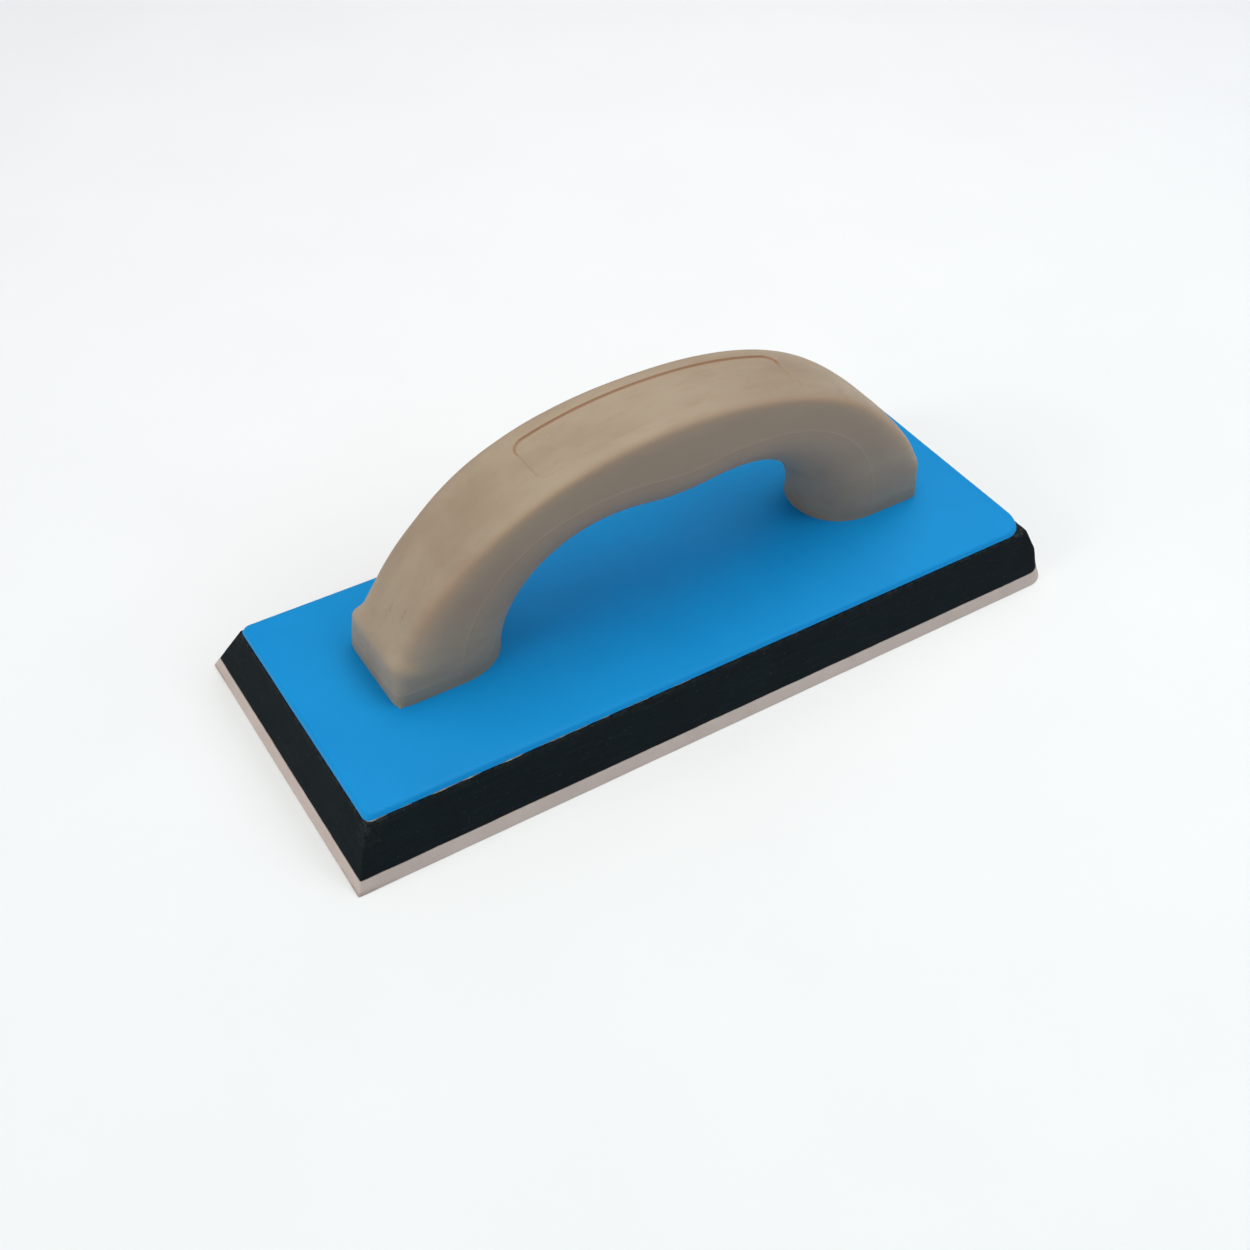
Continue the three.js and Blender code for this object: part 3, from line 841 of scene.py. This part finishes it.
def handle_stations():
    """Matching points of the three lines, closer together at the panel's ends and in the feet."""
    curves = handle_curves(CURVE_POINTS)
    distance = along(curves[0])
    curves = [softened(curve, distance, END_EDGE_SOFTNESS) for curve in curves]
    half = distance[-1] / 2
    panel_end = PANEL_HALF_LENGTH + 1 * MM
    inside = PANEL_HALF_LENGTH - PANEL_CORNER
    bands = [
        (-half, FOOT_DETAIL - half),
        (PANEL_CENTRE - panel_end, PANEL_CENTRE - inside),
        (PANEL_CENTRE + inside, PANEL_CENTRE + panel_end),
        (half - FOOT_DETAIL, half),
    ]
    stations = graded(-half, half, STATION_GAP, FINE_GAP, bands)

    def at(line):
        return np.column_stack([np.interp(stations + half, distance, line[:, i]) for i in (0, 1)])

    return stations, [at(curve) for curve in curves]


def quarter(half_width, middle, parting, power):
    """A quarter superellipse, from its middle to the parting line: across, point and distance."""
    angle = np.linspace(math.pi / 2, 0, QUARTER_POINTS)
    across = half_width * np.cos(angle) ** (2 / power)
    across[0] = 0.0
    out = np.sin(angle) ** (2 / power)
    point = parting + (middle - parting) * out[:, None]
    distance = along(np.column_stack([point, across]))
    return across, point, out, distance


def handle_ring(outer, parting, inner):
    """One ring of the handle, from the far parting line over the crown and back under the hand.

    Each row holds x, y, z, the distance across from the crown's middle, and how far out it is.
    """
    level = inner[1] + (outer[1] - inner[1]) * LEVEL_SHARE
    climb = np.clip(level / FULL_WIDTH_LEVEL, 0, 1)
    half_width = FOOT_HALF_WIDTH + (GRIP_HALF_WIDTH - FOOT_HALF_WIDTH) * climb
    power = BASE_CROWN_POWER
    crown_powers = LEFT_CROWN_POWERS if outer[0] < 0 else RIGHT_CROWN_POWERS
    for next_power, start, end in crown_powers:
        power += (next_power - power) * step(level, start, end)
    sides = []
    for middle, sharpness, is_crown in ((outer, power, True), (inner, HAND_SIDE_POWER, False)):
        across, point, out, distance = quarter(half_width, middle, parting, sharpness)
        whole = distance[-1]
        if is_crown:
            shares = np.linspace(0, 1, SIDE_LINES + 1)[1:]
            ridge_start = whole - RIDGE_HALF_WIDTH
            sideways = PANEL_BAND + (ridge_start - PANEL_BAND) * shares
            picks = np.concatenate([PANEL_LINES, sideways, [whole]])
        else:
            picks = (whole - RIDGE_HALF_WIDTH) * np.linspace(0, 1, HAND_LINES + 1)
        columns = [np.interp(picks, distance, values) for values in (*point.T, across, out)]
        x, z, y, share_out = columns
        far = np.column_stack([x, y, z, picks, share_out])
        near = far * (1, -1, 1, -1, 1)
        if not is_crown:
            near[:, 4] *= -1
            far[:, 4] *= -1
            sides.append(np.concatenate([near[::-1], far[1:]]))
        else:
            sides.append(np.concatenate([far[::-1], near[1:]]))
    return np.concatenate(sides)


def outward_normals(grid):
    """Unit normals of a grid of rings."""
    round_ring = np.roll(grid, -1, axis=1) - np.roll(grid, 1, axis=1)
    along_rings = np.gradient(grid, axis=0)
    normals = np.cross(round_ring, along_rings)
    return normals / np.linalg.norm(normals, axis=2, keepdims=True)


def rounded_panel(lengthways, across):
    """Distance outside the panel's rounded outline, negative inside it."""
    x = np.abs(lengthways - PANEL_CENTRE) - (PANEL_HALF_LENGTH - PANEL_CORNER)
    y = np.abs(across) - (PANEL_HALF_WIDTH - PANEL_CORNER)
    outside = np.hypot(np.maximum(x, 0), np.maximum(y, 0))
    return outside + np.minimum(np.maximum(x, y), 0) - PANEL_CORNER


def make_handle(material):
    """The moulded handle: sunk panel on the crown, mould flash, and a bore for each screw."""
    stations, curves = handle_stations()
    rows = np.array([handle_ring(*points) for points in zip(*curves)])
    grid, across, out = rows[:, :, :3], rows[:, :, 3], rows[:, :, 4]
    height = grid[:, :, 2]
    crown_side = out >= 0
    panel = rounded_panel(stations[:, None], across)
    panel[~crown_side] = PANEL_CORNER
    sunk = 1 - step(panel, -PANEL_WALL, 0)
    wall = step(panel, -PANEL_WALL - 0.25 * MM, -PANEL_WALL) * (1 - step(panel, 0, 0.15 * MM))
    # Painted shade on the panel's wall, left off across the middle of its ends.
    panel_wall_shade = wall * step(across, *GROOVE_FADE)
    on_parting = np.zeros(height.shape)
    crown_count = crown_side[0].sum()
    on_parting[:, [0, crown_count - 1]] = 1
    parting = on_parting * step(height, BASE_LINE_HEIGHT - 1 * MM, BASE_LINE_HEIGHT)
    off_base_line = np.abs(height - BASE_LINE_HEIGHT)
    base_line = crown_side * (1 - step(off_base_line, 0.1 * MM, RIDGE_HALF_WIDTH))
    # The raised mould lines; the same mask carries their painted highlight in the material.
    ridge = np.maximum(parting, base_line)
    waves = wander(grid.reshape(-1, 3), SURFACE_WAVE_LENGTH, 31.0).reshape(height.shape)
    waves *= step(height, 0, 6 * MM)
    push = SURFACE_WAVE * waves - PANEL_DEPTH * sunk + RIDGE_HEIGHT * ridge
    low = height < FLAT_HEIGHT
    for nib_x, nib_y in NIB_PLACES:
        away = np.hypot(grid[:, :, 0] - nib_x, grid[:, :, 1] - nib_y)
        nib = (1 - step(away, 0, NIB_REACH)) * (1 - step(height, 0, 1 * MM))
        push += NIB_LENGTH * nib * low
    normals = outward_normals(grid)
    flat = normals * np.where(low[:, :, None], (1, 1, 0), (1, 1, 1))
    grid = grid + flat * push[:, :, None]
    grid += (HANDLE_X, HANDLE_Y, PLATE_TOP)
    piece = make_object("moulded_handle", *skin(grid))
    sideways = np.abs(normals[:, :, 1])
    # Painted shade: marks the walls that face sideways, which the material darkens.
    side = step(sideways, 0.45, 0.85) * step(height, 8 * MM, 34 * MM)
    # Painted shade: the warm band sits where the crown's surface turns from facing up to facing sideways.
    shoulder_shading_band = crown_side * step(sideways, 0.2, 0.5) * (1 - step(sideways, 0.7, 0.95))
    shoulder_shading_band *= step(height, 8 * MM, 30 * MM)
    for name, values in (("panel_wall_shade", panel_wall_shade), ("parting", ridge), ("shoulder_shading_band", shoulder_shading_band), ("side", side)):
        add_attribute(piece, name, values.ravel())
    radius = SCREW_RADIUS + SCREW_CLEARANCE
    depth = SCREW_LENGTH + SCREW_CLEARANCE
    profile = [(radius, -1 * MM), (radius, depth - SCREW_TIP), (0.05 * MM, depth)]
    cut_away(piece, [turned(profile, 32) + (*place, PLATE_TOP) for place in screw_places()])
    finish_piece(piece, "handle", material)


# ---------------------------------------------------------------- screws

def screw_places():
    """The middle of each screw, seen from above."""
    middles = [(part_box(node)[0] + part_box(node)[1]) / 2 for node in SCREW_NODES]
    return [(middle.x, middle.y) for middle in middles]


def screw_rings():
    """A countersunk screw on its head, point up, with a rolled thread on its shank."""
    segments = 24
    angles = np.linspace(0, 2 * math.pi, segments, endpoint=False)
    cone_top = HEAD_LAND + HEAD_RADIUS - SCREW_RADIUS
    head = [(HEAD_RADIUS, 0.0), (HEAD_RADIUS, HEAD_LAND), (SCREW_RADIUS, cone_top)]
    thread_start = cone_top + 1 * MM
    levels = np.arange(thread_start, SCREW_LENGTH, SCREW_PITCH / 10)
    rings = list(turned(head, segments))
    for level in levels:
        phase = (level / SCREW_PITCH - angles / (2 * math.pi)) % 1
        crest = np.clip(1 - np.abs(phase - 0.5) / 0.25, 0, 1)
        radius = SCREW_ROOT + (SCREW_RADIUS - SCREW_ROOT) * crest
        radius *= np.clip((SCREW_LENGTH - level) / SCREW_TIP, 0.04, 1)
        ring = np.column_stack([radius * np.cos(angles), radius * np.sin(angles), np.full(segments, level)])
        rings.append(ring)
    return np.array(rings)


def cross_recess():
    """The cross recess's solid: a plus sign that narrows as it goes in."""
    long, short = RECESS_LENGTH / 2, RECESS_WIDTH / 2
    arm = [(long, -short), (long, short), (short, short)]
    plus = []
    for c, s in ((1, 0), (0, 1), (-1, 0), (0, -1)):
        plus += [(x * c - y * s, x * s + y * c) for x, y in arm]
    plus = np.array(plus)
    levels = ((-0.5 * MM, 1.1), (RECESS_DEPTH, 0.55))
    return np.array([np.column_stack([plus * size, np.full(len(plus), z)]) for z, size in levels])


def make_screws(material):
    for node in SCREW_NODES:
        low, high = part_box(node)
        place = ((low.x + high.x) / 2, (low.y + high.y) / 2, low.z)
        piece = make_object(node.replace("screw", "threaded_screw"), *skin(screw_rings() + place))
        cut_away(piece, [cross_recess() + place])
        finish_piece(piece, node, material, 30)


make_camera()
make_studio()
make_gum()
make_foam()
cement = glue_material()
make_glue("face_cement", "face_adhesive", GUM_TOP, FOAM_BOTTOM, foam_radii, FACE_GLUE_SPREAD, cement)
make_glue("plate_cement", "plate_adhesive", FOAM_TOP, PLATE_BOTTOM, plate_radii, PLATE_GLUE_SPREAD, cement)
make_plate(plate_material())
make_handle(handle_material())
make_screws(screw_material())
